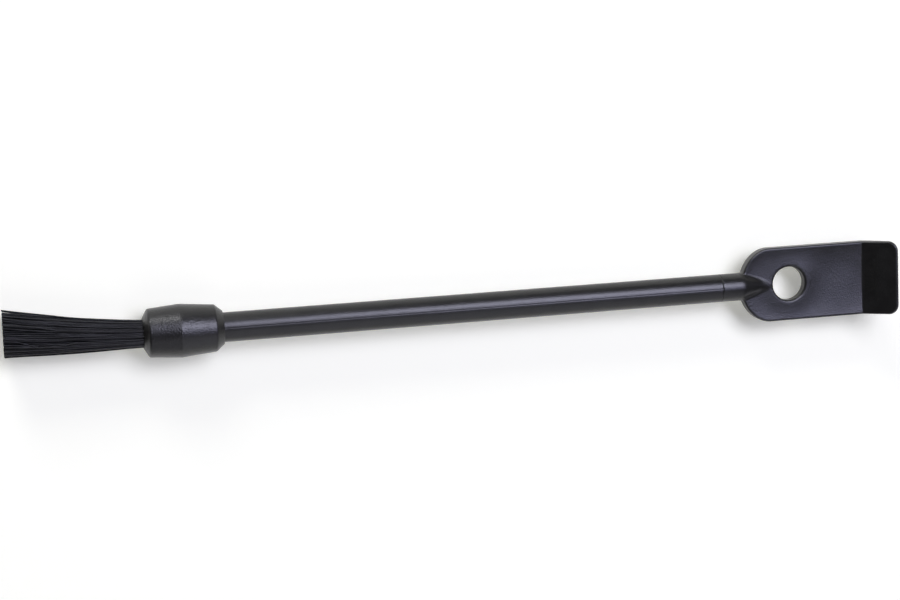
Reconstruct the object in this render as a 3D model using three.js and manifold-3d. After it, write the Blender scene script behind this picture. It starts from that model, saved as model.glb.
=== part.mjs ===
// Cleaning brush for a coffee machine: a tuft of bristles in a ferrule, a round rod and a flat scraper
// paddle with a hanging hole and a bent lip. Sizes are in millimetres. The brush lies along X with the
// bristles at the low end, the paddle is level and its lip bends upwards.
import * as THREE from "three";
import { mergeVertices } from "three/addons/utils/BufferGeometryUtils.js";
import Module from "manifold-3d";

// Ferrule: a sleeve of two cones that meet in a crisp ring. Lengths run from its mouth.
const FERRULE_LENGTH = 15.2;
const FERRULE_FRONT_DIAMETER = 9.3;
const FERRULE_FRONT_CHAMFER = 0.95;
const FERRULE_RING_DIAMETER = 10.26;
const FERRULE_RING_DISTANCE = 7;
const FERRULE_REAR_DIAMETER = 9.06;
const FERRULE_REAR_CHAMFER = 1.5;
const FERRULE_EDGE_EASING = 0.5;
const FERRULE_RIM_LAND = 0.15;
const FERRULE_BORE = 6.2;
const MOUTH_BORE = 5.7;
const MOUTH_LIP_LENGTH = 3;

// Rod: slightly tapered, with a barbed spigot in the ferrule and a socket for the paddle's tang.
const ROD_FRONT_DIAMETER = 5.72;
const ROD_REAR_DIAMETER = 5.58;
const ROD_VISIBLE_LENGTH = 100;
const SPIGOT_CHAMFER = 0.5;
const BARB_COUNT = 3;
const BARB_RAMP = 1.5;
const JOINT_CHAMFER = 0.08;

// Tang: a round pin with one flat, which sets the paddle square in the rod.
const TANG_DIAMETER = 3.2;
const TANG_FLAT_DEPTH = 0.45;
const TANG_LENGTH = 10;
const SOCKET_SPARE_DEPTH = 0.8;

// Paddle: distances run from the joint between rod and paddle. The stub carries on the rod, and from the
// run-out's start it narrows to a point on the plate, before the hole.
const RUNOUT_DISTANCE = 5.6;
const RUNOUT_LENGTH = 5.3;
const RUNOUT_EASING = 1.2;
const RUNOUT_SINK = 0.1;
const PLATE_DISTANCE = 4.4;
const PLATE_END_LENGTH = 6.2;
const PADDLE_WIDTH = 14.94;
const PADDLE_THICKNESS = 2.5;
const PADDLE_EDGE_RADIUS = 0.4;
const HOLE_DIAMETER = 6.8;
const HOLE_DISTANCE = 14.6;
const HOLE_RIM_RADIUS = 0.4;
const LIP_DISTANCE = 30.4;
const LIP_LENGTH = 7;
const LIP_ANGLE = THREE.MathUtils.degToRad(34.5);
const LIP_BEND_RADIUS = 0.4;
const LIP_EDGE_THICKNESS = 0.8;
const LIP_CORNER_RADIUS = 2;

// Bristles: straight through the mouth, then flared all round and swept to one side.
const BRISTLE_LENGTH = 26;
const BRISTLE_DIAMETER = 0.24;
const BRISTLE_GAP = 0.022;
const BRISTLE_RING_STEP = 7;
const BRISTLE_FLARE_RADIUS = 4.5;
const BRISTLE_FLARE_POWER = 1.25;
const BRISTLE_SWEEP = 1.92;
const BRISTLE_SWEEP_POWER = 1.4;
const BRISTLE_TRIM_SPREAD = 0.3;
const BRISTLE_STRAY = 0.06;
const SCATTER_STRIDE = 12.9898;
const SCATTER_SCALE = 43758.5453;
const ROOT_FACE_THICKNESS = 1;
const ROOT_PLUG_LENGTH = 3;

// Clearances
const PRESS_CLEARANCE = 0.05;
const SEAT_CLEARANCE = 0.1;

// Facets
const FERRULE_SEGMENTS = 64;
const ROD_SEGMENTS = 48;
const TANG_STEPS = 12;
const HOLE_SEGMENTS = 36;
const ROOT_SEGMENTS = 18;
const EDGE_STEPS = 3;
const RIM_STEPS = 2;
const BEND_STEPS = 3;
const CORNER_STEPS = 4;
const ROUND_END_STEPS = 14;
const BRISTLE_SIDES = 3;
const BRISTLE_BENDS = [0, 0.5, 1];
const WELD_DISTANCE = 1e-4;

const ferruleBoreRadius = FERRULE_BORE / 2;
const mouthRadius = MOUTH_BORE / 2;
const rodFrontRadius = ROD_FRONT_DIAMETER / 2;
const rodRearRadius = ROD_REAR_DIAMETER / 2;
const fittedRadius = ferruleBoreRadius - PRESS_CLEARANCE;
const halfThickness = PADDLE_THICKNESS / 2;
const halfWidth = PADDLE_WIDTH / 2;
const joint = FERRULE_LENGTH + ROD_VISIBLE_LENGTH;
const rootFaceStart = MOUTH_LIP_LENGTH + SEAT_CLEARANCE;
const rootPlugStart = rootFaceStart + ROOT_FACE_THICKNESS + SEAT_CLEARANCE;
const spigotTip = rootPlugStart + ROOT_PLUG_LENGTH + SEAT_CLEARANCE;

const wasm = await Module();
wasm.setup();

function toSolid(geometry) {
  const bare = new THREE.BufferGeometry();
  bare.setAttribute("position", geometry.getAttribute("position"));
  bare.setIndex(geometry.getIndex());
  const welded = mergeVertices(bare, WELD_DISTANCE);
  const mesh = new wasm.Mesh({
    numProp: 3,
    vertProperties: welded.getAttribute("position").array,
    triVerts: new Uint32Array(welded.getIndex().array),
  });
  return new wasm.Manifold(mesh);
}

function toGeometry(solid) {
  const mesh = solid.getMesh();
  const geometry = new THREE.BufferGeometry();
  geometry.setAttribute("position", new THREE.BufferAttribute(mesh.vertProperties, 3));
  geometry.setIndex(new THREE.BufferAttribute(mesh.triVerts, 1));
  geometry.computeVertexNormals();
  return geometry;
}

// A solid turned about the brush's axis, from pairs of station and radius.
function turned(profile, segments) {
  const points = profile.map(([station, radius]) => new THREE.Vector2(radius, station));
  return new THREE.LatheGeometry(points, segments).rotateZ(-Math.PI / 2);
}

// A skin over rings of equal length, closed by a flat fan at both ends.
function lofted(rings) {
  const size = rings[0].length;
  const index = [];
  for (let ring = 0; ring + 1 < rings.length; ring += 1) {
    for (let k = 0; k < size; k += 1) {
      const a = ring * size + k;
      const b = ring * size + ((k + 1) % size);
      index.push(a, b, b + size, a, b + size, a + size);
    }
  }
  const last = (rings.length - 1) * size;
  for (let k = 1; k + 1 < size; k += 1) {
    index.push(0, k + 1, k);
    index.push(last, last + k, last + k + 1);
  }
  const geometry = new THREE.BufferGeometry().setFromPoints(rings.flat());
  geometry.setIndex(index);
  return geometry;
}

// The shares 0 to 1 of a range that is cut into equal steps.
function shares(steps) {
  return Array.from({ length: steps + 1 }, (_, k) => k / steps);
}

// The points of a rounded corner that begins and ends at a distance from its sharp point.
function eased(before, corner, after, distance) {
  const sharp = new THREE.Vector2(...corner);
  const [start, end] = [before, after].map((neighbour) => {
    const side = new THREE.Vector2(...neighbour).sub(sharp);
    return sharp.clone().addScaledVector(side.normalize(), distance);
  });
  const curve = new THREE.QuadraticBezierCurve(start, sharp, end);
  return curve.getPoints(EDGE_STEPS).map((point) => point.toArray());
}

function ferrule() {
  const frontRim = [0, mouthRadius + FERRULE_RIM_LAND];
  const frontEdge = [FERRULE_FRONT_CHAMFER, FERRULE_FRONT_DIAMETER / 2];
  const ring = [FERRULE_RING_DISTANCE, FERRULE_RING_DIAMETER / 2];
  const rearEdge = [FERRULE_LENGTH - FERRULE_REAR_CHAMFER, FERRULE_REAR_DIAMETER / 2];
  const rearRim = [FERRULE_LENGTH, ferruleBoreRadius + FERRULE_RIM_LAND];
  const profile = [
    [0, mouthRadius],
    frontRim,
    ...eased(frontRim, frontEdge, ring, FERRULE_EDGE_EASING),
    ring,
    ...eased(ring, rearEdge, rearRim, FERRULE_EDGE_EASING),
    rearRim,
    [FERRULE_LENGTH, ferruleBoreRadius],
    [MOUTH_LIP_LENGTH, ferruleBoreRadius],
    [MOUTH_LIP_LENGTH, mouthRadius],
    [0, mouthRadius],
  ];
  return turned(profile, FERRULE_SEGMENTS);
}

function rootPlug() {
  const end = rootPlugStart + ROOT_PLUG_LENGTH;
  const profile = [
    [rootPlugStart, 0],
    [rootPlugStart, fittedRadius],
    [end, fittedRadius],
    [end, 0],
  ];
  return turned(profile, ROD_SEGMENTS);
}

// The tang, or with a clearance all round the socket that takes it.
function tang(clearance, start, end) {
  const radius = TANG_DIAMETER / 2 + clearance;
  const flat = TANG_DIAMETER / 2 - TANG_FLAT_DEPTH + clearance;
  const half = Math.acos(flat / radius);
  const outline = new THREE.Shape();
  outline.absarc(0, 0, radius, half, 2 * Math.PI - half, false);
  outline.closePath();
  const depth = end - start;
  const pin = new THREE.ExtrudeGeometry(outline, { depth, bevelEnabled: false, curveSegments: TANG_STEPS });
  return toSolid(pin.rotateY(Math.PI / 2).translate(start, 0, 0));
}

function rod() {
  const profile = [
    [spigotTip, 0],
    [spigotTip, rodFrontRadius - SPIGOT_CHAMFER],
    [spigotTip + SPIGOT_CHAMFER, rodFrontRadius],
  ];
  const barbStart = spigotTip + SPIGOT_CHAMFER;
  const barbPitch = (FERRULE_LENGTH - FERRULE_REAR_CHAMFER - barbStart) / BARB_COUNT;
  for (let k = 0; k < BARB_COUNT; k += 1) {
    const crest = barbStart + (k + 1) * barbPitch;
    profile.push([crest - BARB_RAMP, rodFrontRadius]);
    profile.push([crest, fittedRadius]);
    profile.push([crest, rodFrontRadius]);
  }
  const end = joint - SEAT_CLEARANCE;
  profile.push([FERRULE_LENGTH, rodFrontRadius]);
  profile.push([end - JOINT_CHAMFER, rodRearRadius]);
  profile.push([end, rodRearRadius - JOINT_CHAMFER]);
  profile.push([end, 0]);
  const body = toSolid(turned(profile, ROD_SEGMENTS));
  const socket = tang(SEAT_CLEARANCE, joint - TANG_LENGTH - SOCKET_SPARE_DEPTH, joint);
  return toGeometry(body.subtract(socket));
}

// One section of the paddle: a rounded bar between a point of its back and a point of its front.
function section(back, front, half) {
  const thickness = back.distanceTo(front);
  const radius = Math.min(PADDLE_EDGE_RADIUS, thickness / 2 - WELD_DISTANCE);
  const up = front.clone().sub(back).normalize();
  const points = [];
  const corners = [
    [half - radius, thickness - radius],
    [radius - half, thickness - radius],
    [radius - half, radius],
    [half - radius, radius],
  ];
  corners.forEach(([across, along], quarter) => {
    for (const share of shares(EDGE_STEPS)) {
      const angle = ((quarter + share) * Math.PI) / 2;
      const point = back.clone().addScaledVector(up, along + radius * Math.sin(angle));
      points.push(new THREE.Vector3(point.x, across + radius * Math.cos(angle), point.y));
    }
  });
  return points;
}

// Plate and lip in one skin: a round end, level faces, a bend and a lip that thins to its edge.
function blade() {
  const rings = [];
  const level = (x, half) => {
    const back = new THREE.Vector2(x, -halfThickness);
    const front = new THREE.Vector2(x, halfThickness);
    rings.push(section(back, front, half));
  };
  const endCentre = joint + PLATE_DISTANCE + PLATE_END_LENGTH;
  const startAngle = Math.asin(rodRearRadius / 2 / halfWidth);
  for (const share of shares(ROUND_END_STEPS)) {
    const angle = THREE.MathUtils.lerp(startAngle, Math.PI / 2, share);
    level(endCentre - PLATE_END_LENGTH * Math.cos(angle), halfWidth * Math.sin(angle));
  }
  const bendX = joint + LIP_DISTANCE - LIP_BEND_RADIUS * Math.tan(LIP_ANGLE / 2);
  const bendCentre = new THREE.Vector2(bendX, halfThickness + LIP_BEND_RADIUS);
  for (const share of shares(BEND_STEPS)) {
    const turn = share * LIP_ANGLE;
    const down = new THREE.Vector2(Math.sin(turn), -Math.cos(turn));
    const front = bendCentre.clone().addScaledVector(down, LIP_BEND_RADIUS);
    const back = bendCentre.clone().addScaledVector(down, LIP_BEND_RADIUS + PADDLE_THICKNESS);
    rings.push(section(back, front, halfWidth));
  }
  const down = new THREE.Vector2(Math.sin(LIP_ANGLE), -Math.cos(LIP_ANGLE));
  const out = new THREE.Vector2(Math.cos(LIP_ANGLE), Math.sin(LIP_ANGLE));
  const lipStart = bendCentre.clone().addScaledVector(down, LIP_BEND_RADIUS);
  const reach = LIP_LENGTH - LIP_BEND_RADIUS * Math.tan(LIP_ANGLE / 2);
  for (const share of shares(CORNER_STEPS)) {
    const turn = (share * Math.PI) / 2;
    const along = reach - LIP_CORNER_RADIUS * (1 - Math.sin(turn));
    const thickness = THREE.MathUtils.lerp(PADDLE_THICKNESS, LIP_EDGE_THICKNESS, along / reach);
    const front = lipStart.clone().addScaledVector(out, along);
    const back = front.clone().addScaledVector(down, thickness);
    rings.push(section(back, front, halfWidth - LIP_CORNER_RADIUS * (1 - Math.cos(turn))));
  }
  return toSolid(lofted(rings));
}

// The cutter of the hanging hole, which also rounds its rims on both faces.
function holeCutter() {
  const radius = HOLE_DIAMETER / 2;
  const wide = radius + HOLE_RIM_RADIUS;
  const rim = shares(RIM_STEPS).map((share) => {
    const turn = (share * Math.PI) / 2;
    const across = wide - HOLE_RIM_RADIUS * Math.sin(turn);
    const height = -halfThickness + HOLE_RIM_RADIUS * (1 - Math.cos(turn));
    return new THREE.Vector2(across, height);
  });
  const upper = rim.map((point) => new THREE.Vector2(point.x, -point.y)).reverse();
  const profile = [
    new THREE.Vector2(0, -PADDLE_THICKNESS),
    new THREE.Vector2(wide, -PADDLE_THICKNESS),
    ...rim,
    ...upper,
    new THREE.Vector2(wide, PADDLE_THICKNESS),
    new THREE.Vector2(0, PADDLE_THICKNESS),
  ];
  const cutter = new THREE.LatheGeometry(profile, HOLE_SEGMENTS).rotateX(Math.PI / 2);
  return toSolid(cutter.translate(joint + HOLE_DISTANCE, 0, 0));
}

function paddle() {
  const stubStart = [joint + JOINT_CHAMFER, rodRearRadius];
  const runoutStart = [joint + RUNOUT_DISTANCE, rodRearRadius];
  const runoutEnd = [joint + RUNOUT_DISTANCE + RUNOUT_LENGTH, halfThickness - RUNOUT_SINK];
  const profile = [
    [joint, 0],
    [joint, rodRearRadius - JOINT_CHAMFER],
    stubStart,
    ...eased(stubStart, runoutStart, runoutEnd, RUNOUT_EASING),
    runoutEnd,
    [joint + RUNOUT_DISTANCE + RUNOUT_LENGTH, 0],
  ];
  const stub = toSolid(turned(profile, ROD_SEGMENTS));
  const pin = tang(0, joint - TANG_LENGTH, joint + RUNOUT_DISTANCE);
  return toGeometry(blade().add(stub).add(pin).subtract(holeCutter()));
}

// A spread between -1 and 1 that looks random and is the same each time.
function scatter(seed) {
  const wave = Math.sin(seed * SCATTER_STRIDE) * SCATTER_SCALE;
  return 2 * (wave - Math.floor(wave)) - 1;
}

function bristle(ring, place, count, pitch, spreadAtTip) {
  const angle = (2 * Math.PI * (place + scatter(ring) / 2)) / count;
  const seed = ring * count + place;
  const length = BRISTLE_LENGTH - BRISTLE_TRIM_SPREAD * Math.abs(scatter(seed));
  const stations = [rootFaceStart + ROOT_FACE_THICKNESS / 2];
  const bends = [0];
  BRISTLE_BENDS.forEach((bend) => {
    stations.push(-length * bend);
    bends.push(bend);
  });
  const rings = stations.map((station, k) => {
    const flare = 1 + spreadAtTip * bends[k] ** BRISTLE_FLARE_POWER;
    const sweep = BRISTLE_SWEEP * bends[k] ** BRISTLE_SWEEP_POWER;
    const stray = BRISTLE_STRAY * bends[k];
    const y = sweep + ring * pitch * flare * Math.cos(angle) + stray * scatter(seed + count);
    const z = ring * pitch * flare * Math.sin(angle) + stray * scatter(seed - count);
    return Array.from({ length: BRISTLE_SIDES }, (_, corner) => {
      const turn = angle + Math.PI / 2 - (2 * Math.PI * corner) / BRISTLE_SIDES;
      const across = (BRISTLE_DIAMETER / 2) * Math.cos(turn);
      const up = (BRISTLE_DIAMETER / 2) * Math.sin(turn);
      return new THREE.Vector3(station, y + across, z + up);
    });
  });
  return toSolid(lofted(rings));
}

// The tuft in concentric layers. Each layer stands on its own slice of the fused root, and each ring of
// bristles holds one step more of them than the ring inside it.
function bristleLayers(layerCount) {
  const pitch = ((BRISTLE_DIAMETER + BRISTLE_GAP) * BRISTLE_RING_STEP) / (2 * Math.PI);
  const room = mouthRadius - PRESS_CLEARANCE - BRISTLE_DIAMETER / 2;
  const ringCount = Math.floor(room / pitch);
  const spreadAtTip = (BRISTLE_FLARE_RADIUS - BRISTLE_DIAMETER / 2) / (ringCount * pitch) - 1;
  const layers = [];
  let firstRing = 0;
  for (let layer = 1; layer <= layerCount; layer += 1) {
    const lastRing = Math.round(ringCount * Math.sqrt(layer / layerCount));
    const inner = firstRing === 0 ? 0 : (firstRing - 1 / 2) * pitch + BRISTLE_GAP;
    const outer = lastRing === ringCount ? fittedRadius : (lastRing + 1 / 2) * pitch - BRISTLE_GAP;
    const end = rootFaceStart + ROOT_FACE_THICKNESS;
    const profile = [
      [rootFaceStart, inner],
      [rootFaceStart, outer],
      [end, outer],
      [end, inner],
    ];
    if (inner > 0) {
      profile.push([rootFaceStart, inner]);
    }
    const pieces = [toSolid(turned(profile, ROOT_SEGMENTS))];
    for (let ring = firstRing; ring <= lastRing; ring += 1) {
      const count = Math.max(1, BRISTLE_RING_STEP * ring);
      for (let place = 0; place < count; place += 1) {
        pieces.push(bristle(ring, place, count, pitch, spreadAtTip));
      }
    }
    layers.push(toGeometry(wasm.Manifold.union(pieces)));
    firstRing = lastRing + 1;
  }
  return layers;
}

const plastic = { color: 0x29292c, roughness: 0.45 };
const filament = { color: 0x17171a, roughness: 0.5 };
const fusedRoot = { color: 0x202022, roughness: 0.7 };

const brush = new THREE.Group();
function place(name, geometry, finish) {
  const mesh = new THREE.Mesh(geometry, new THREE.MeshStandardMaterial(finish));
  mesh.name = name;
  brush.add(mesh);
}

const layerNames = ["bristles_core", "bristles_inner", "bristles_middle", "bristles_outer"];
place("scraper_paddle", paddle(), plastic);
place("handle_rod", rod(), plastic);
place("ferrule", ferrule(), plastic);
place("root_plug", rootPlug(), fusedRoot);
bristleLayers(layerNames.length).forEach((layer, k) => place(layerNames[k], layer, filament));

// The origin lies under the middle of the brush, on the surface that the ferrule rests on.
const box = new THREE.Box3().setFromObject(brush);
const middle = box.getCenter(new THREE.Vector3());
brush.position.set(-middle.x, -middle.y, -box.min.z);

const group = new THREE.Group();
group.add(brush);

export default group;
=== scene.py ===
"""Looks of a cleaning brush for a coffee machine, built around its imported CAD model."""

import math
import random

import bpy
import numpy as np
from mathutils import Matrix, Vector


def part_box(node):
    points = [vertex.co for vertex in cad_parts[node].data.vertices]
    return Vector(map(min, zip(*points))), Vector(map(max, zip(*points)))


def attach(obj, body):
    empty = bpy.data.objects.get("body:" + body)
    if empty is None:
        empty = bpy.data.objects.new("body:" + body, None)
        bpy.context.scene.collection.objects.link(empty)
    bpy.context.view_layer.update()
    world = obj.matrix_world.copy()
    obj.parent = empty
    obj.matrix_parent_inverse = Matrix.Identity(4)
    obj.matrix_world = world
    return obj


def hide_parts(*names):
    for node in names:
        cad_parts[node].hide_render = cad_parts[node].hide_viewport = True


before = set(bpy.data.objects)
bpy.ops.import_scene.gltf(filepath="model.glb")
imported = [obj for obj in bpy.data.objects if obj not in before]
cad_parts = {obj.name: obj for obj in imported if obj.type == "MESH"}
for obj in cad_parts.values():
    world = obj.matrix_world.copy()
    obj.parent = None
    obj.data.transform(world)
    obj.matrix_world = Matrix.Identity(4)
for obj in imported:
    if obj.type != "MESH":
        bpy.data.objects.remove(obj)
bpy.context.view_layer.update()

MM = 0.001
FULL_TURN = 2 * math.pi
GOLDEN_ANGLE = math.pi * (3 - math.sqrt(5))

# Places that the frame gives, in millimetres. The brush's axis runs along X.
ferrule_low, ferrule_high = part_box("ferrule")
paddle_low, paddle_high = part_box("scraper_paddle")
rod_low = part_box("handle_rod")[0]
MOUTH = ferrule_low.x / MM
AXIS_HEIGHT = (ferrule_low.z + ferrule_high.z) / 2 / MM
FERRULE_LENGTH = (ferrule_high.x - ferrule_low.x) / MM
FERRULE_RING_RADIUS = (ferrule_high.z - ferrule_low.z) / 2 / MM
PADDLE_HALF_WIDTH = (paddle_high.y - paddle_low.y) / 2 / MM
SPIGOT_TIP = (rod_low.x / MM) - MOUTH

# Ferrule, in millimetres from its mouth
FERRULE_FRONT_RADIUS = 4.65
FERRULE_FRONT_CHAMFER = 0.95
FERRULE_RING_DISTANCE = 7.0
FERRULE_REAR_RADIUS = 4.53
FERRULE_REAR_CHAMFER = 1.5
FERRULE_EDGE_ROUNDING = 0.6
FERRULE_RING_ROUNDING = 1.3
FERRULE_RIM_ROUNDING = 0.04
FERRULE_RIM_LAND = 0.15
FERRULE_BORE_RADIUS = 3.1
MOUTH_RADIUS = 2.85
MOUTH_LIP_LENGTH = 3.0
FERRULE_SEGMENTS = 160

# Rod, in millimetres from the ferrule's mouth
ROD_FRONT_RADIUS = 2.86
ROD_REAR_RADIUS = 2.79
ROD_STATIONS = 25
ROD_SEGMENTS = 120
SPIGOT_CHAMFER = 0.5
BARB_COUNT = 3
BARB_RAMP = 1.5
BARB_RADIUS = 3.05
BARB_BACK = 0.03
JOINT = 115.2
JOINT_GAP = 0.03
JOINT_CHAMFER = 0.05
JOINT_ROUNDING = JOINT_CHAMFER / 3
SOCKET_RADIUS = 1.7
SOCKET_DEPTH = 10.8

# Moulding seam along the rod. The reaches count half widths from the seam's middle.
SEAM_ANGLE = math.radians(3.4)
SEAM_DEPTH = 0.02
SEAM_HALF_WIDTH = 0.1
SEAM_REACH = 2
SEAM_CLEAR_REACH = 2.2
SEAM_POINTS = 13

# Paddle, in millimetres from the joint with the rod
STUB_LENGTH = 4.4
STUB_FILLET = 0.8
RUNOUT_DISTANCE = 4.6
RUNOUT_END = 10.9
RUNOUT_END_RADIUS = 0.8
RUNOUT_EASING = 0.65
RUNOUT_EASING_POINTS = 9
RUNOUT_FILLET = 0.45
HALF_THICKNESS = 1.25
ROUND_END_LENGTH = 6.2
EDGE_RADIUS = 0.4
HOLE_RADIUS = 3.4
HOLE_DISTANCE = 14.6
HOLE_RIM_RADIUS = 0.45
LIP_DISTANCE = 30.4
LIP_LENGTH = 7.19
LIP_OVERRUN = 0.6
LIP_ANGLE = math.radians(34.5)
LIP_EDGE_THICKNESS = 0.8
LIP_CORNER_RADIUS = 2.0
BEND_BACK_RADIUS = 2.9
TANG_RADIUS = 1.6
TANG_FLAT_DEPTH = 0.45
TANG_LENGTH = 10.0
TANG_OVERLAP = 2.0

# Side view of the lip: its corner with the plate's front, and its directions outwards and downwards
LIP_CORNER = Vector((LIP_DISTANCE, HALF_THICKNESS))
LIP_OUT = Vector((math.cos(LIP_ANGLE), math.sin(LIP_ANGLE)))
LIP_DOWN = Vector((math.sin(LIP_ANGLE), -math.cos(LIP_ANGLE)))

# Sunken front of the plate. A ripple has its share, its waves along and across, and its start.
SINK_DEPTH = 0.42
SINK_FADE = 2.5
HOLE_RISE = 0.28
HOLE_RISE_REACH = 2.8
RIPPLE_DEPTH = 0.03
RIPPLES = (
    (1.0, 0.62, -0.35, 0.4),
    (0.7, 0.38, 0.55, 2.1),
)

# Net that skins the paddle
NET_STEP = 0.16
NET_MARGIN = 0.5
NET_LIP_MARGIN = (1.2, 0.6)
CELL_CORNERS = [np.array((i, j, k)) for i in (0, 1) for j in (0, 1) for k in (0, 1)]
OTHER_AXES = ((1, 2), (2, 0), (0, 1))
CELLS_ROUND_EDGE = ((-1, -1), (0, -1), (0, 0), (-1, 0))
DRAW_ROUNDS = 4
SLOPE_STEP = 0.05
LEAST_SLOPE_SQUARE = 0.05
LEAST_ELLIPSE_SLOPE = 1e-6

# Meshes of turned pieces
CORNER_STEPS = 6
LONG_EDGE = 0.4
EDGE_SUPPORT = 0.06

# Bristles, in millimetres from the ferrule's mouth
TUFT_SEED = 11
BRISTLE_COUNT = 320
BRISTLE_LENGTH = 25.9
BRISTLE_RADIUS = 0.138
BRISTLE_SIDES = 6
BRISTLE_STEPS = 22
BRISTLE_ROOT_DEPTH = 4.0
BRISTLE_ROOT_RADIUS = 2.66
BRISTLE_TIP_RADIUS = 4.65
BRISTLE_TIP_HEIGHT = 4.2
BRISTLE_FLARE_POWER = 1.25
BRISTLE_SWEEP = 1.92
BRISTLE_DROOP = 0.6
BRISTLE_SWEEP_POWER = 1.4
BRISTLE_END_TILT = 0.02
BRISTLE_WANDER = 0.07
BRISTLE_TRIM = 0.10
STRAY_SHARE = 0.05
STRAY_WANDER = 0.32
WAVE_WIDTH = 0.2
WAVE_WIDTH_RANGE = (0.2, 1.0)
WAVE_ACROSS = 5
WAVE_UP = 12
CLUMP_COUNT = 30
CLUMP_TURN = 0.35
CLUMP_PULL = 0.4
CLUMP_PULL_RANGE = (0.6, 1.2)
CLUMP_START = 0.34
CLUMP_LEAN = 0.24

# Loose filaments on the outside of the tuft: place in the mouth across and up, shift across at the
# bend, the share of the length at which the bend lies, and lift off the others at the tip
LOOSE_STRANDS = (
    (-0.50, 0.86, 1.45, 0.83, 0.38),
    (-0.28, 0.95, -0.70, 0.55, 0.15),
    (0.35, 0.93, 0.60, 0.70, 0.15),
    (0.96, 0.25, 0.12, 0.60, 0.10),
    (-0.75, 0.65, 0.80, 0.62, 0.30),
)
LOOSE_BEND = 0.04

# Moulded plastic: colours and roughness from low to high, depths in metres. A noise has its scale per
# metre, its detail and, where it isn't 0.5, its roughness.
HANDLE_COLOURS = ((0.0062, 0.0060, 0.0053), (0.0092, 0.0090, 0.0080))
HANDLE_ROUGHNESS = (0.28, 0.36)
HANDLE_GRAIN_DEPTH = 0.00005
FERRULE_COLOURS = ((0.0062, 0.0060, 0.0055), (0.0092, 0.0090, 0.0083))
FERRULE_ROUGHNESS = (0.26, 0.34)
FERRULE_GRAIN_DEPTH = 0.000085
PLASTIC_MOTTLE_NOISE = (420.0, 3.0)
PLASTIC_MOTTLE_STOPS = (0.35, 0.65)
PLASTIC_GLOSS_NOISE = (900.0, 3.0)
PLASTIC_WAVE_NOISE = (160.0, 1.0)
PLASTIC_WAVE_DEPTH = 0.0004
PLASTIC_WAVE_STRENGTH = 0.16
PLASTIC_GRAIN_NOISE = (3400.0, 2.0, 0.6)
PLASTIC_GRAIN_STRENGTH = 0.7
PLASTIC_IOR = 1.5

# Filaments: streaks that are long along the brush and fine across it. The paler colour of some streaks is a
# painted highlight.
NYLON_COLOURS = ((0.004, 0.004, 0.0041), (0.017, 0.017, 0.0174))
NYLON_STREAK_SCALE = (60.0, 2600.0, 2600.0)
NYLON_STREAK_NOISE = (1.0, 2.0)
NYLON_STREAK_STOPS = (0.45, 0.72)
NYLON_ROUGHNESS = (0.46, 0.24)
NYLON_SPECULAR = 0.24
NYLON_IOR = 1.53

# Fused root of the filaments
ROOT_COLOURS = ((0.006, 0.006, 0.007), (0.018, 0.018, 0.019))
ROOT_LUMP_NOISE = (1800.0, 3.0)
ROOT_LUMP_STOPS = (0.35, 0.7)
ROOT_LUMP_DEPTH = 0.0002
ROOT_LUMP_STRENGTH = 0.5
ROOT_ROUGHNESS = (0.55, 0.8)

# Floor and world, in metres. The floor's own white counts for rays that are seen, near and far away.
WHITE = (1, 1, 1, 1)
FLOOR_REACH = 4.0
FLOOR_COLOUR = (0.86, 0.86, 0.70, 1)
FLOOR_ROUGHNESS = 0.9
FLOOR_DISTANCES = (0.15, 1.4)
FLOOR_WHITES = (0.25, 0.45)
WORLD_STRENGTHS = (0.03, 0.6)
WORLD_BAND_HEIGHTS = (0.15, 0.18)

# Camera, fitted to the photograph. Its place is in millimetres from the middle of the ferrule's mouth.
CAMERA_RIGHT = Vector((0.974388, -0.044861, 0.220351))
CAMERA_UP = Vector((0.075724, 0.988127, -0.133680))
CAMERA_BACK = Vector((-0.211738, 0.146942, 0.966217))
CAMERA_PLACE = (-25.487, 61.010, 388.954)
CAMERA_SENSOR = 36.0
CAMERA_LENS = 82.43
CAMERA_CLIP = 0.01

# Soft boxes: name, direction from the brush, width and height in metres, radiance and colour
LAMP_DISTANCE = 1.3
LAMPS = (
    ("key_box", (0.28, 0.39, 0.877), 0.72, 0.58, 10.9, (0.79, 0.79, 1.0)),
    ("plate_box", (0.42, 0.03, 0.907), 0.3, 0.3, 7.5, (0.66, 0.66, 1.0)),
    ("wing_box", (-0.08, 0.6, 0.8), 0.25, 0.5, 2.5, (0.85, 0.85, 1.0)),
    ("side_box", (-0.235, 0.885, 0.395), 0.46, 0.38, 10.5, (0.97, 0.97, 1.0)),
    ("fill_box", (0.15, -0.757, 0.635), 0.8, 1.5, 1.08, (0.9, 0.9, 1.0)),
    ("low_box", (0.75, -0.65, 0.14), 0.5, 0.3, 0.9, (0.85, 0.85, 1.0)),
    ("left_box", (-0.75, 0.63, 0.17), 0.6, 0.35, 0.7, (0.95, 0.95, 1.0)),
    ("left_low_box", (-0.7, -0.7, 0.13), 0.6, 0.3, 0.6, (0.95, 0.95, 1.0)),
)


# Meshes


def object_from(name, points, faces, material):
    """A smooth mesh piece from points in millimetres along and about the brush's axis."""
    mesh = bpy.data.meshes.new(name)
    placed = np.asarray(points, float) + np.array([MOUTH, 0.0, AXIS_HEIGHT])
    mesh.from_pydata((placed * MM).tolist(), [], faces)
    mesh.polygons.foreach_set("use_smooth", [True] * len(mesh.polygons))
    mesh.materials.append(material)
    mesh.update()
    piece = bpy.data.objects.new(name, mesh)
    bpy.context.scene.collection.objects.link(piece)
    return piece


def corner_arc(before, here, after, radius):
    """Points of the arc that rounds the corner between two straight edges."""
    back = (before - here).normalized()
    ahead = (after - here).normalized()
    half = back.angle(ahead) / 2
    reach = radius / math.tan(half)
    centre = here + (back + ahead).normalized() * (radius / math.sin(half))
    start = here + back * reach - centre
    end = here + ahead * reach - centre
    sweep = start.angle_signed(end)
    points = []
    for step in range(CORNER_STEPS + 1):
        turn = Matrix.Rotation(-sweep * step / CORNER_STEPS, 2)
        points.append(tuple(centre + turn @ start))
    return points


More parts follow.
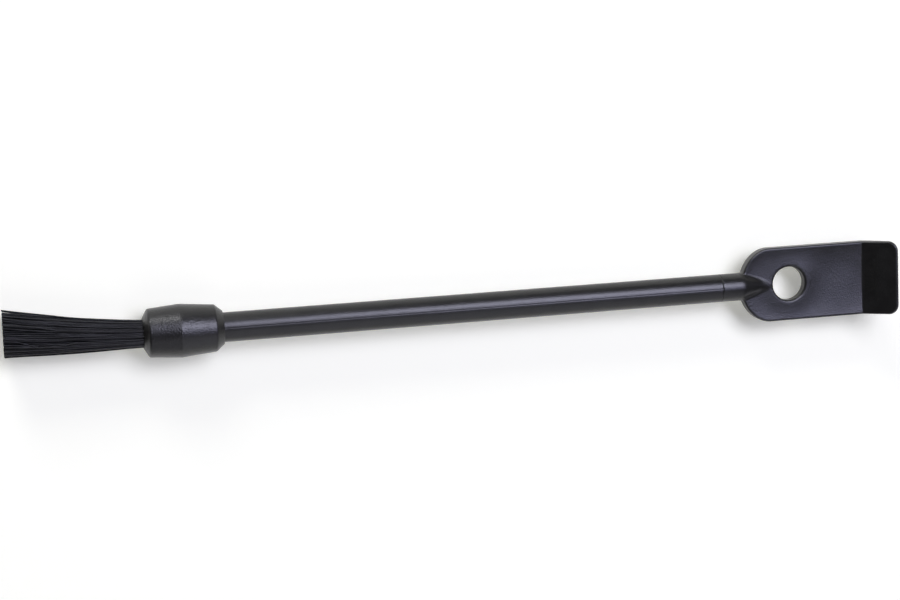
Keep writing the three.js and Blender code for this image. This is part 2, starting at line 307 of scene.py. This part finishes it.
def rounded(profile):
    """A closed outline whose corners are arcs. A point holds x, y and the corner's radius."""
    made = []
    places = [Vector(point[:2]) for point in profile]
    for k, here in enumerate(places):
        radius = profile[k][2]
        if radius == 0:
            made.append(tuple(here))
        else:
            made += corner_arc(places[k - 1], here, places[(k + 1) % len(places)], radius)
    return made


def supported(outline):
    """The same outline with points near the ends of its long edges, so that these stay flat in shade."""
    made = []
    for k, here in enumerate(outline):
        after = outline[(k + 1) % len(outline)]
        made.append(here)
        length = math.dist(here, after)
        on_axis = here[1] == 0 and after[1] == 0
        if length > LONG_EDGE and not on_axis:
            for share in (EDGE_SUPPORT / length, 1 - EDGE_SUPPORT / length):
                made.append(tuple(a + share * (b - a) for a, b in zip(here, after)))
    return made


def turned(name, outline, angles, material, radius_at=None):
    """A closed outline of stations and radii, turned about the axis. Points on the axis are shared."""
    profile = supported(outline)
    points = []
    faces = []
    number = {}
    for turn, angle in enumerate(angles):
        for k, (station, radius) in enumerate(profile):
            if radius == 0 and turn > 0:
                number[turn, k] = number[0, k]
                continue
            number[turn, k] = len(points)
            out = radius_at(station, radius, angle) if radius_at else radius
            points.append((station, out * math.sin(angle), out * math.cos(angle)))
    for turn in range(len(angles)):
        then = (turn + 1) % len(angles)
        for k in range(len(profile)):
            after = (k + 1) % len(profile)
            corners = (number[turn, k], number[turn, after], number[then, after], number[then, k])
            face = tuple(dict.fromkeys(corners))
            if len(face) > 2:
                faces.append(face)
    return object_from(name, points, faces, material)


def even_angles(count):
    """Angles that divide a full turn evenly."""
    return [FULL_TURN * k / count for k in range(count)]


# Material nodes


def plain_material(name):
    """A new material with its node tree and shader."""
    material = bpy.data.materials.new(name)
    material.use_nodes = True
    tree = material.node_tree
    return material, tree, tree.nodes["Principled BSDF"]


def object_coordinates(tree):
    """Coordinates in metres that stay with the piece."""
    return tree.nodes.new("ShaderNodeTexCoord").outputs["Object"]


def noise(tree, coordinates, scale, detail, roughness=0.5):
    """A noise between 0 and 1 at the coordinates."""
    made = tree.nodes.new("ShaderNodeTexNoise")
    made.inputs["Scale"].default_value = scale
    made.inputs["Detail"].default_value = detail
    made.inputs["Roughness"].default_value = roughness
    tree.links.new(coordinates, made.inputs["Vector"])
    return made.outputs["Fac"]


def ramp(tree, factor, stops, colours):
    """A colour between two, which are reached at the two stops of the factor."""
    made = tree.nodes.new("ShaderNodeValToRGB")
    for element, stop, colour in zip(made.color_ramp.elements, stops, colours):
        element.position = stop
        element.color = (*colour, 1)
    tree.links.new(factor, made.inputs["Fac"])
    return made.outputs["Color"]


def spread(tree, factor, results, limits=(0.0, 1.0)):
    """The factor between its limits, mapped to a range of results."""
    made = tree.nodes.new("ShaderNodeMapRange")
    made.inputs["From Min"].default_value = limits[0]
    made.inputs["From Max"].default_value = limits[1]
    made.inputs["To Min"].default_value = results[0]
    made.inputs["To Max"].default_value = results[1]
    tree.links.new(factor, made.inputs["Value"])
    return made.outputs["Result"]


def bump(tree, height, depth, strength, below=None):
    """A normal that follows a height, on top of another normal if one is given."""
    made = tree.nodes.new("ShaderNodeBump")
    made.inputs["Distance"].default_value = depth
    made.inputs["Strength"].default_value = strength
    tree.links.new(height, made.inputs["Height"])
    if below is not None:
        tree.links.new(below, made.inputs["Normal"])
    return made.outputs["Normal"]


def combined(tree, operation, first, second):
    """The result of a math operation on two values."""
    made = tree.nodes.new("ShaderNodeMath")
    made.operation = operation
    tree.links.new(first, made.inputs[0])
    tree.links.new(second, made.inputs[1])
    return made.outputs["Value"]


# Materials


def moulded_plastic(name, colours, roughness, grain_depth):
    """Black moulded plastic: a fine spark-eroded grain, faint sink waves and slightly uneven gloss."""
    material, tree, shader = plain_material(name)
    coordinates = object_coordinates(tree)
    mottle = noise(tree, coordinates, *PLASTIC_MOTTLE_NOISE)
    colour = ramp(tree, mottle, PLASTIC_MOTTLE_STOPS, colours)
    gloss = noise(tree, coordinates, *PLASTIC_GLOSS_NOISE)
    sag = noise(tree, coordinates, *PLASTIC_WAVE_NOISE)
    waves = bump(tree, sag, PLASTIC_WAVE_DEPTH, PLASTIC_WAVE_STRENGTH)
    grain = noise(tree, coordinates, *PLASTIC_GRAIN_NOISE)
    normal = bump(tree, grain, grain_depth, PLASTIC_GRAIN_STRENGTH, waves)
    tree.links.new(colour, shader.inputs["Base Color"])
    tree.links.new(spread(tree, gloss, roughness), shader.inputs["Roughness"])
    tree.links.new(normal, shader.inputs["Normal"])
    shader.inputs["IOR"].default_value = PLASTIC_IOR
    return material


def handle_plastic():
    """The black of rod and paddle."""
    return moulded_plastic("handle_black", HANDLE_COLOURS, HANDLE_ROUGHNESS, HANDLE_GRAIN_DEPTH)


def ferrule_plastic():
    """The slightly coarser black of the ferrule."""
    return moulded_plastic("ferrule_black", FERRULE_COLOURS, FERRULE_ROUGHNESS, FERRULE_GRAIN_DEPTH)


def bristle_nylon():
    """Black filament: hardly any colour, a soft gloss along each strand, and paler strands whose colour is a
    painted highlight.
    """
    material, tree, shader = plain_material("black_nylon_filament")
    along = tree.nodes.new("ShaderNodeMapping")
    along.inputs["Scale"].default_value = NYLON_STREAK_SCALE
    tree.links.new(object_coordinates(tree), along.inputs["Vector"])
    streak = noise(tree, along.outputs["Vector"], *NYLON_STREAK_NOISE)
    # the paler end of this colour ramp paints highlights onto some strands
    colour = ramp(tree, streak, NYLON_STREAK_STOPS, NYLON_COLOURS)
    tree.links.new(colour, shader.inputs["Base Color"])
    tree.links.new(spread(tree, streak, NYLON_ROUGHNESS), shader.inputs["Roughness"])
    shader.inputs["IOR"].default_value = NYLON_IOR
    shader.inputs["Specular IOR Level"].default_value = NYLON_SPECULAR
    return material


def fused_nylon():
    """Filaments melted into one dull, lumpy mass."""
    material, tree, shader = plain_material("fused_nylon_root")
    lumps = noise(tree, object_coordinates(tree), *ROOT_LUMP_NOISE)
    colour = ramp(tree, lumps, ROOT_LUMP_STOPS, ROOT_COLOURS)
    normal = bump(tree, lumps, ROOT_LUMP_DEPTH, ROOT_LUMP_STRENGTH)
    tree.links.new(colour, shader.inputs["Base Color"])
    tree.links.new(spread(tree, lumps, ROOT_ROUGHNESS), shader.inputs["Roughness"])
    tree.links.new(normal, shader.inputs["Normal"])
    return material


# Ferrule


def make_ferrule(material):
    """The sleeve of two cones, with a chamfer at each end and a lip in its mouth."""
    outline = [
        (0.0, MOUTH_RADIUS, FERRULE_RIM_ROUNDING),
        (0.0, MOUTH_RADIUS + FERRULE_RIM_LAND, FERRULE_RIM_ROUNDING),
        (FERRULE_FRONT_CHAMFER, FERRULE_FRONT_RADIUS, FERRULE_EDGE_ROUNDING),
        (FERRULE_RING_DISTANCE, FERRULE_RING_RADIUS, FERRULE_RING_ROUNDING),
        (FERRULE_LENGTH - FERRULE_REAR_CHAMFER, FERRULE_REAR_RADIUS, FERRULE_EDGE_ROUNDING),
        (FERRULE_LENGTH, FERRULE_BORE_RADIUS + FERRULE_RIM_LAND, FERRULE_RIM_ROUNDING),
        (FERRULE_LENGTH, FERRULE_BORE_RADIUS, FERRULE_RIM_ROUNDING),
        (MOUTH_LIP_LENGTH, FERRULE_BORE_RADIUS, 0.0),
        (MOUTH_LIP_LENGTH, MOUTH_RADIUS, 0.0),
    ]
    piece = turned("ferrule_sleeve", rounded(outline), even_angles(FERRULE_SEGMENTS), material)
    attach(piece, "root")
    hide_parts("ferrule")


# Rod


def seam_angles():
    """Even angles round the rod, with closer ones across the moulding seam on both of its sides."""
    angles = set(even_angles(ROD_SEGMENTS))
    half = SEAM_HALF_WIDTH / ROD_FRONT_RADIUS
    clear = SEAM_CLEAR_REACH * half
    shares = np.linspace(-SEAM_REACH, SEAM_REACH, SEAM_POINTS)
    for side in (SEAM_ANGLE, SEAM_ANGLE + math.pi):
        angles = {a for a in angles if abs(math.remainder(a - side, FULL_TURN)) > clear}
        angles |= {(side + share * half) % FULL_TURN for share in shares}
    return sorted(angles)


def seam_radius(station, radius, angle):
    """The rod's radius, less the fine groove that the two mould halves leave along it."""
    if station < FERRULE_LENGTH or radius < ROD_REAR_RADIUS - JOINT_CHAMFER:
        return radius
    off = min(
        abs(math.remainder(angle - SEAM_ANGLE, FULL_TURN)),
        abs(math.remainder(angle - SEAM_ANGLE - math.pi, FULL_TURN)),
    )
    return radius - SEAM_DEPTH * math.exp(-((off * radius / SEAM_HALF_WIDTH) ** 2))


def spigot_profile():
    """Stations and radii of the barbed spigot that sits in the ferrule."""
    start = SPIGOT_TIP + SPIGOT_CHAMFER
    profile = [
        (SPIGOT_TIP, 0.0),
        (SPIGOT_TIP, ROD_FRONT_RADIUS - SPIGOT_CHAMFER),
        (start, ROD_FRONT_RADIUS),
    ]
    pitch = (FERRULE_LENGTH - FERRULE_REAR_CHAMFER - start) / BARB_COUNT
    for k in range(BARB_COUNT):
        crest = start + (k + 1) * pitch
        profile.append((crest - BARB_RAMP, ROD_FRONT_RADIUS))
        profile.append((crest, BARB_RADIUS))
        profile.append((crest + BARB_BACK, ROD_FRONT_RADIUS))
    return profile


def shaft_profile(end):
    """Stations and radii of the tapered rod, from the ferrule to the chamfer at the rod's end."""
    profile = []
    for share in np.linspace(0, 1, ROD_STATIONS):
        station = FERRULE_LENGTH + share * (end - JOINT_CHAMFER - FERRULE_LENGTH)
        profile.append((station, ROD_FRONT_RADIUS + share * (ROD_REAR_RADIUS - ROD_FRONT_RADIUS)))
    return profile


def socket_profile(end):
    """Stations and radii of the rod's chamfered end and of the socket in it."""
    bottom = JOINT - SOCKET_DEPTH
    return [
        (end - JOINT_ROUNDING, ROD_REAR_RADIUS - JOINT_ROUNDING),
        (end, ROD_REAR_RADIUS - JOINT_CHAMFER),
        (end, SOCKET_RADIUS),
        (bottom, SOCKET_RADIUS),
        (bottom, 0.0),
    ]


def make_rod(material):
    """The rod with its spigot, its moulding seam and its socket."""
    end = JOINT - JOINT_GAP
    profile = spigot_profile() + shaft_profile(end) + socket_profile(end)
    piece = turned("rod_moulding", profile, seam_angles(), material, seam_radius)
    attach(piece, "root")
    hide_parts("handle_rod")


# Distance fields


def polygon_distance(x, y, corners):
    """Signed distance to a closed polygon, negative inside."""
    nearest = np.full(x.shape, np.inf)
    inside = np.zeros(x.shape, bool)
    for k, (start_x, start_y) in enumerate(corners):
        end_x, end_y = corners[(k + 1) % len(corners)]
        edge_x = end_x - start_x
        edge_y = end_y - start_y
        from_x = x - start_x
        from_y = y - start_y
        share = (from_x * edge_x + from_y * edge_y) / (edge_x * edge_x + edge_y * edge_y)
        share = np.clip(share, 0, 1)
        nearest = np.minimum(nearest, np.hypot(from_x - share * edge_x, from_y - share * edge_y))
        if edge_y != 0:
            crosses = (start_y > y) != (end_y > y)
            inside ^= crosses & (x < start_x + from_y * edge_x / edge_y)
    return np.where(inside, -nearest, nearest)


def rounded_cut(first, second, radius):
    """What lies in both fields, with the edge between them rounded."""
    first = first + radius
    second = second + radius
    outer = np.hypot(np.maximum(first, 0), np.maximum(second, 0))
    return np.minimum(np.maximum(first, second), 0) + outer - radius


def filleted_join(first, second, radius):
    """What lies in either field, with a fillet in the corner between them."""
    first = radius - first
    second = radius - second
    inner = np.hypot(np.maximum(first, 0), np.maximum(second, 0))
    return np.maximum(radius, np.minimum(radius - first, radius - second)) - inner


# Net over a distance field


def at_corner(array, corner):
    """What all cells of a grid have at one of their corners."""
    size = np.array(array.shape) - 1
    return array[tuple(slice(start, start + count) for start, count in zip(corner, size))]


def crossings(values, mixed, step):
    """For each mixed cell, the middle of the places where its edges cross the surface."""
    cells = np.argwhere(mixed)
    total = np.zeros((len(cells), 3))
    hits = np.zeros(len(cells))
    for near in CELL_CORNERS:
        for axis in np.flatnonzero(near == 0):
            far = near.copy()
            far[axis] = 1
            first = at_corner(values, near)[mixed]
            second = at_corner(values, far)[mixed]
            crossed = (first < 0) != (second < 0)
            share = np.where(crossed, first / np.where(crossed, first - second, 1), 0)
            spot = (cells + near).astype(float)
            spot[:, axis] += share
            total += np.where(crossed[:, None], spot, 0)
            hits += crossed
    return step * total / hits[:, None]


def drawn_onto(field, points, step):
    """The points after a few moves along the field's slope, which bring them onto its zero surface."""
    small = step * SLOPE_STEP
    for _ in range(DRAW_ROUNDS):
        value = field(*points.T)
        slopes = []
        for unit in np.eye(3):
            ahead = field(*(points + small * unit).T)
            behind = field(*(points - small * unit).T)
            slopes.append((ahead - behind) / (2 * small))
        slope = np.stack(slopes, axis=1)
        square = np.maximum((slope**2).sum(1), LEAST_SLOPE_SQUARE)
        points = points - np.clip(value / square, -step, step)[:, None] * slope
    return points


def net_faces(inside, number):
    """Quads across the grid edges that cross the surface. Number gives the point of each mixed cell."""
    faces = []
    size = np.array(number.shape)
    for axis, (u, v) in enumerate(OTHER_AXES):
        spots = np.argwhere(np.diff(inside, axis=axis))
        beside = spots[:, [u, v]]
        spots = spots[np.all((beside > 0) & (beside < size[[u, v]]), axis=1)]
        outward = inside[tuple(spots.T)]
        around = []
        for du, dv in CELLS_ROUND_EDGE:
            cell = spots.copy()
            cell[:, u] += du
            cell[:, v] += dv
            around.append(number[tuple(cell.T)])
        quads = np.stack(around, axis=1)
        faces += quads[outward].tolist()
        faces += quads[~outward][:, ::-1].tolist()
    return faces


def skin(field, low, high, step):
    """Points and quads of a net over a field's zero surface."""
    axes = [np.arange(low[k], high[k] + step, step) for k in range(3)]
    values = field(*np.meshgrid(*axes, indexing="ij"))
    inside = values < 0
    filled = sum(at_corner(inside, corner).astype(int) for corner in CELL_CORNERS)
    mixed = (filled > 0) & (filled < len(CELL_CORNERS))
    number = np.full(mixed.shape, -1)
    number[mixed] = np.arange(mixed.sum())
    points = np.array(low) + crossings(values, mixed, step)
    return drawn_onto(field, points, step), net_faces(inside, number)


# Paddle


def side_outline():
    """The paddle's side view: level plate, rounded bend at the back and a lip that thins to its edge."""
    thinning = (2 * HALF_THICKNESS - LIP_EDGE_THICKNESS) / LIP_LENGTH
    front_end = LIP_CORNER + LIP_OUT * (LIP_LENGTH + LIP_OVERRUN)
    back_end = front_end + LIP_DOWN * (LIP_EDGE_THICKNESS - thinning * LIP_OVERRUN)
    back_corner = (LIP_DISTANCE + 2 * HALF_THICKNESS * math.tan(LIP_ANGLE / 2), -HALF_THICKNESS)
    outline = [
        (0.0, HALF_THICKNESS, 0.0),
        (0.0, -HALF_THICKNESS, 0.0),
        (*back_corner, BEND_BACK_RADIUS),
        (*back_end, 0.0),
        (*front_end, 0.0),
        (*LIP_CORNER, 0.0),
    ]
    return rounded(outline)


def stub_outline():
    """The stub's half outline: a cylinder that eases into the cone of the run-out."""
    corner = Vector((RUNOUT_DISTANCE, ROD_REAR_RADIUS))
    end = Vector((RUNOUT_END, RUNOUT_END_RADIUS))
    start = corner - Vector((RUNOUT_EASING, 0))
    after = corner + (end - corner).normalized() * RUNOUT_EASING
    outline = [
        (0.0, -ROD_REAR_RADIUS),
        (0.0, ROD_REAR_RADIUS - JOINT_CHAMFER),
        (JOINT_CHAMFER, ROD_REAR_RADIUS),
    ]
    for share in np.linspace(0, 1, RUNOUT_EASING_POINTS):
        outline.append(tuple(start.lerp(corner, share).lerp(corner.lerp(after, share), share)))
    return outline + [tuple(end), (RUNOUT_END, -ROD_REAR_RADIUS)]


SIDE_OUTLINE = side_outline()
STUB_OUTLINE = stub_outline()


def sink(x, y, z, inward):
    """How far the plate's front has sunk between its edges as the moulding cooled, less round the hole."""
    level = np.clip(z / HALF_THICKNESS, 0, 1) * np.clip(1 - (x - LIP_DISTANCE) / SINK_FADE, 0, 1)
    dish = 1 - (1 - np.clip(inward / PADDLE_HALF_WIDTH, 0, 1)) ** 2
    ripple = sum(share * np.sin(along * x + across * y + start) for share, along, across, start in RIPPLES)
    past_rim = np.maximum(np.hypot(x - HOLE_DISTANCE, y) - HOLE_RADIUS, 0)
    held = HOLE_RISE * np.exp(-((past_rim / HOLE_RISE_REACH) ** 2))
    return level * dish * (SINK_DEPTH + RIPPLE_DEPTH * ripple - held)


def round_end(x, y):
    """Signed distance to the paddle's end, half an ellipse that starts where the stub ends."""
    along = (x - STUB_LENGTH - ROUND_END_LENGTH) / ROUND_END_LENGTH
    across = y / PADDLE_HALF_WIDTH
    reach = np.hypot(along, across)
    slope = np.hypot(along / ROUND_END_LENGTH, across / PADDLE_HALF_WIDTH)
    return reach * (reach - 1) / np.maximum(slope, LEAST_ELLIPSE_SLOPE)


def square_end(run, y):
    """Signed distance to the paddle's straight sides and to the lip's end with its two round corners."""
    end = LIP_DISTANCE + LIP_LENGTH - LIP_CORNER_RADIUS
    past = np.maximum(run - end, 0)
    aside = np.maximum(np.abs(y) - (PADDLE_HALF_WIDTH - LIP_CORNER_RADIUS), 0)
    corners = np.hypot(past, aside) - LIP_CORNER_RADIUS
    return np.where(run > end, corners, np.abs(y) - PADDLE_HALF_WIDTH)


def plan_field(x, y, z):
    """Signed distance to the paddle's outline, seen square to the plate and, past the bend, to the lip."""
    along_lip = LIP_DISTANCE + (x - LIP_CORNER.x) * LIP_OUT.x + (z - LIP_CORNER.y) * LIP_OUT.y
    run = np.where(x > LIP_DISTANCE, along_lip, x)
    return np.where(x < STUB_LENGTH + ROUND_END_LENGTH, round_end(x, y), square_end(run, y))


def tang_field(x, z, radius):
    """Signed distance to the tang, a round pin with one flat that reaches into the stub."""
    ends = np.abs(x + TANG_LENGTH / 2 - TANG_OVERLAP / 2) - TANG_LENGTH / 2 - TANG_OVERLAP / 2
    flat = z - TANG_RADIUS + TANG_FLAT_DEPTH
    return np.maximum.reduce([radius - TANG_RADIUS, ends, flat])


def paddle_field(x, y, z):
    """Signed distance to the paddle's skin, in millimetres from the joint."""
    plan = plan_field(x, y, z)
    side = polygon_distance(x, z + sink(x, y, z, -plan), SIDE_OUTLINE)
    plate = rounded_cut(side, plan, EDGE_RADIUS)
    radius = np.hypot(y, z)
    stub = polygon_distance(x, radius, STUB_OUTLINE)
    fillet = np.interp(x, (STUB_LENGTH, RUNOUT_DISTANCE), (STUB_FILLET, RUNOUT_FILLET))
    body = filleted_join(plate, stub, fillet)
    hole = HOLE_RADIUS - np.hypot(x - HOLE_DISTANCE, y)
    body = rounded_cut(body, hole, HOLE_RIM_RADIUS)
    return np.minimum(body, tang_field(x, z, radius))


def make_paddle(material):
    """The plate with its stub, tang, hole and bent lip."""
    tip = LIP_CORNER + LIP_OUT * LIP_LENGTH
    low = (-TANG_LENGTH - NET_MARGIN, -PADDLE_HALF_WIDTH - NET_MARGIN, -ROD_REAR_RADIUS - NET_MARGIN)
    high = (tip.x + NET_LIP_MARGIN[0], PADDLE_HALF_WIDTH + NET_MARGIN, tip.y + NET_LIP_MARGIN[1])
    points, faces = skin(paddle_field, low, high, NET_STEP)
    points = points + np.array([JOINT, 0.0, 0.0])
    piece = object_from("paddle_moulding", points, faces, material)
    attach(piece, "root")
    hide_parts("scraper_paddle")


# Bristles


def sunflower(k, count):
    """Radius and angle of the place with number k when a circle of radius 1 is evenly filled."""
    return math.sqrt((k + 0.5) / count), k * GOLDEN_ANGLE


def bristle_clumps(draw):
    """Middles of the clumps that the filaments draw into, each with its own lean across and up."""
    clumps = []
    for k in range(CLUMP_COUNT):
        radius, angle = sunflower(k, CLUMP_COUNT)
        angle += draw.uniform(-CLUMP_TURN, CLUMP_TURN)
        lean = (draw.uniform(-CLUMP_LEAN, CLUMP_LEAN), draw.uniform(-CLUMP_LEAN, CLUMP_LEAN))
        clumps.append((radius * math.cos(angle), radius * math.sin(angle), *lean))
    return clumps


def flared(share):
    """The tuft's half width and half height at a share of its free length."""
    grown = share**BRISTLE_FLARE_POWER
    width = BRISTLE_ROOT_RADIUS + (BRISTLE_TIP_RADIUS - BRISTLE_ROOT_RADIUS) * grown
    height = BRISTLE_ROOT_RADIUS + (BRISTLE_TIP_HEIGHT - BRISTLE_ROOT_RADIUS) * grown
    return width, height


def swept(share):
    """How far the tuft has swept aside and drooped at a share of its free length."""
    bent = share**BRISTLE_SWEEP_POWER
    return BRISTLE_SWEEP * bent, BRISTLE_DROOP * bent


def root_place(y, z):
    """Where a filament starts behind the mouth."""
    return BRISTLE_ROOT_DEPTH, y * BRISTLE_ROOT_RADIUS, z * BRISTLE_ROOT_RADIUS


def bristle_path(draw, y, z, clump):
    """Centre line of a filament: packed in the mouth, flared, swept, and drawn to its clump."""
    pull = CLUMP_PULL * draw.uniform(*CLUMP_PULL_RANGE)
    wander = STRAY_WANDER if draw.random() < STRAY_SHARE else BRISTLE_WANDER
    lean_across = draw.gauss(0, wander) + clump[2]
    lean_up = draw.gauss(0, wander) + clump[3]
    wave = draw.uniform(0, FULL_TURN)
    wave_width = draw.uniform(*WAVE_WIDTH_RANGE) * WAVE_WIDTH
    length = BRISTLE_LENGTH - abs(draw.gauss(0, BRISTLE_TRIM))
    path = [root_place(y, z)]
    for step in range(BRISTLE_STEPS + 1):
        share = step / BRISTLE_STEPS
        width, height = flared(share)
        sweep, droop = swept(share)
        drawn = pull * (CLUMP_START + (1 - CLUMP_START) * share**BRISTLE_FLARE_POWER)
        across = (y + drawn * (clump[0] - y)) * width
        across += lean_across * share + wave_width * share * math.sin(WAVE_ACROSS * share + wave)
        up = (z + drawn * (clump[1] - z)) * height
        up += lean_up * share + wave_width * share * math.sin(WAVE_UP * share + 2 * wave)
        station = -length * share + BRISTLE_END_TILT * across * share
        path.append((station, across + sweep, up - droop))
    return path


def bristle_paths():
    """Centre lines of all filaments that draw into clumps."""
    draw = random.Random(TUFT_SEED)
    clumps = bristle_clumps(draw)
    paths = []
    for k in range(BRISTLE_COUNT):
        radius, angle = sunflower(k, BRISTLE_COUNT)
        y = radius * math.cos(angle)
        z = radius * math.sin(angle)
        clump = min(clumps, key=lambda c: (c[0] - y) ** 2 + (c[1] - z) ** 2)
        paths.append(bristle_path(draw, y, z, clump))
    return paths


def loose_path(y, z, shift, place, lift):
    """Centre line of a filament that crosses the others on the outside of the tuft."""
    path = [root_place(y, z)]
    for step in range(BRISTLE_STEPS + 1):
        share = step / BRISTLE_STEPS
        width, height = flared(share)
        sweep, droop = swept(share)
        past_bend = 1 / (1 + math.exp((place - share) / LOOSE_BEND))
        across = y * width + shift * past_bend + sweep
        up = z * height + lift * share - droop
        path.append((-BRISTLE_LENGTH * share, across, up))
    return path


def strand(path, first):
    """Points and faces of one filament. Its cut ends have points of their own, so that they stay crisp."""
    points = []
    faces = []
    rings = [path[0], *path, path[-1]]
    for station, across, up in rings:
        for turn in even_angles(BRISTLE_SIDES):
            shift_y = BRISTLE_RADIUS * math.cos(turn)
            shift_z = BRISTLE_RADIUS * math.sin(turn)
            points.append((station, across + shift_y, up + shift_z))
    for ring in range(1, len(path)):
        here = first + ring * BRISTLE_SIDES
        then = here + BRISTLE_SIDES
        for side in range(BRISTLE_SIDES):
            after = (side + 1) % BRISTLE_SIDES
            faces.append((here + after, here + side, then + side, then + after))
    last = first + (len(rings) - 1) * BRISTLE_SIDES
    faces.append(tuple(first + side for side in range(BRISTLE_SIDES)))
    faces.append(tuple(last + BRISTLE_SIDES - 1 - side for side in range(BRISTLE_SIDES)))
    return points, faces


def make_bristles(material):
    """The tuft, with all its filaments in one piece."""
    points = []
    faces = []
    for path in bristle_paths() + [loose_path(*values) for values in LOOSE_STRANDS]:
        more_points, more_faces = strand(path, len(points))
        points += more_points
        faces += more_faces
    piece = object_from("bristle_tuft", points, faces, material)
    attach(piece, "root")
    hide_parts("bristles_core", "bristles_inner", "bristles_middle", "bristles_outer")


def dress_root_plug():
    """The fused root keeps its CAD shape and gets its own material."""
    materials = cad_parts["root_plug"].data.materials
    materials.clear()
    materials.append(fused_nylon())


# Stage


def seen_rays(tree):
    """One for what the camera, reflections and glass see, and nothing for the light that the floor gives."""
    path = tree.nodes.new("ShaderNodeLightPath")
    seen = path.outputs["Is Camera Ray"]
    for ray in ("Is Glossy Ray", "Is Transmission Ray"):
        seen = combined(tree, "MAXIMUM", seen, path.outputs[ray])
    return seen


def white_table():
    """A plain white that adds some strength of its own where it is seen, more of it far from the brush."""
    material, tree, shader = plain_material("white_table")
    shader.inputs["Base Color"].default_value = FLOOR_COLOUR
    shader.inputs["Roughness"].default_value = FLOOR_ROUGHNESS
    shader.inputs["Specular IOR Level"].default_value = 0.0
    shader.inputs["Emission Color"].default_value = WHITE
    distance = tree.nodes.new("ShaderNodeVectorMath")
    distance.operation = "LENGTH"
    tree.links.new(object_coordinates(tree), distance.inputs[0])
    away = spread(tree, distance.outputs["Value"], FLOOR_WHITES, FLOOR_DISTANCES)
    strength = combined(tree, "MULTIPLY", seen_rays(tree), away)
    tree.links.new(strength, shader.inputs["Emission Strength"])
    return material


def make_floor():
    """A level floor under the brush that keeps its shadow."""
    far = FLOOR_REACH
    mesh = bpy.data.meshes.new("floor")
    corners = [(-far, -far, 0), (far, -far, 0), (far, far, 0), (-far, far, 0)]
    mesh.from_pydata(corners, [], [(0, 1, 2, 3)])
    mesh.materials.append(white_table())
    floor = bpy.data.objects.new("floor", mesh)
    bpy.context.scene.collection.objects.link(floor)


def make_world():
    """A dim studio. Low over the horizon it is seen in a pale grey like that of the far floor."""
    world = bpy.data.worlds.new("studio")
    bpy.context.scene.world = world
    world.use_nodes = True
    tree = world.node_tree
    direction = tree.nodes.new("ShaderNodeSeparateXYZ")
    tree.links.new(tree.nodes.new("ShaderNodeTexCoord").outputs["Generated"], direction.inputs["Vector"])
    low_band = spread(tree, direction.outputs["Z"], (1.0, 0.0), WORLD_BAND_HEIGHTS)
    pale = combined(tree, "MULTIPLY", seen_rays(tree), low_band)
    background = tree.nodes["Background"]
    background.inputs["Color"].default_value = WHITE
    tree.links.new(spread(tree, pale, WORLD_STRENGTHS), background.inputs["Strength"])


def soft_box(name, direction, width, height, radiance, colour):
    """A soft rectangular lamp that faces the brush from a direction."""
    data = bpy.data.lights.new(name, "AREA")
    data.shape = "RECTANGLE"
    data.size = width
    data.size_y = height
    data.energy = radiance * math.pi * width * height
    data.color = colour
    lamp = bpy.data.objects.new(name, data)
    towards = Vector(direction).normalized()
    lamp.location = towards * LAMP_DISTANCE
    lamp.rotation_mode = "QUATERNION"
    lamp.rotation_quaternion = towards.to_track_quat("Z", "Y")
    bpy.context.scene.collection.objects.link(lamp)


def make_camera():
    """The photograph's view: nearly from above, a little from the left and from the far side."""
    data = bpy.data.cameras.new("camera")
    data.sensor_width = CAMERA_SENSOR
    data.lens = CAMERA_LENS
    data.clip_start = CAMERA_CLIP
    camera = bpy.data.objects.new("camera", data)
    along, across, up = CAMERA_PLACE
    place = Vector((MOUTH + along, across, AXIS_HEIGHT + up)) * MM
    turn = Matrix((CAMERA_RIGHT, CAMERA_UP, CAMERA_BACK)).transposed().to_4x4()
    camera.matrix_world = Matrix.Translation(place) @ turn
    bpy.context.scene.collection.objects.link(camera)
    bpy.context.scene.camera = camera


handle_black = handle_plastic()
make_ferrule(ferrule_plastic())
make_rod(handle_black)
make_paddle(handle_black)
make_bristles(bristle_nylon())
dress_root_plug()

make_floor()
make_world()
make_camera()
for lamp_values in LAMPS:
    soft_box(*lamp_values)
bpy.context.scene.view_settings.view_transform = "Standard"
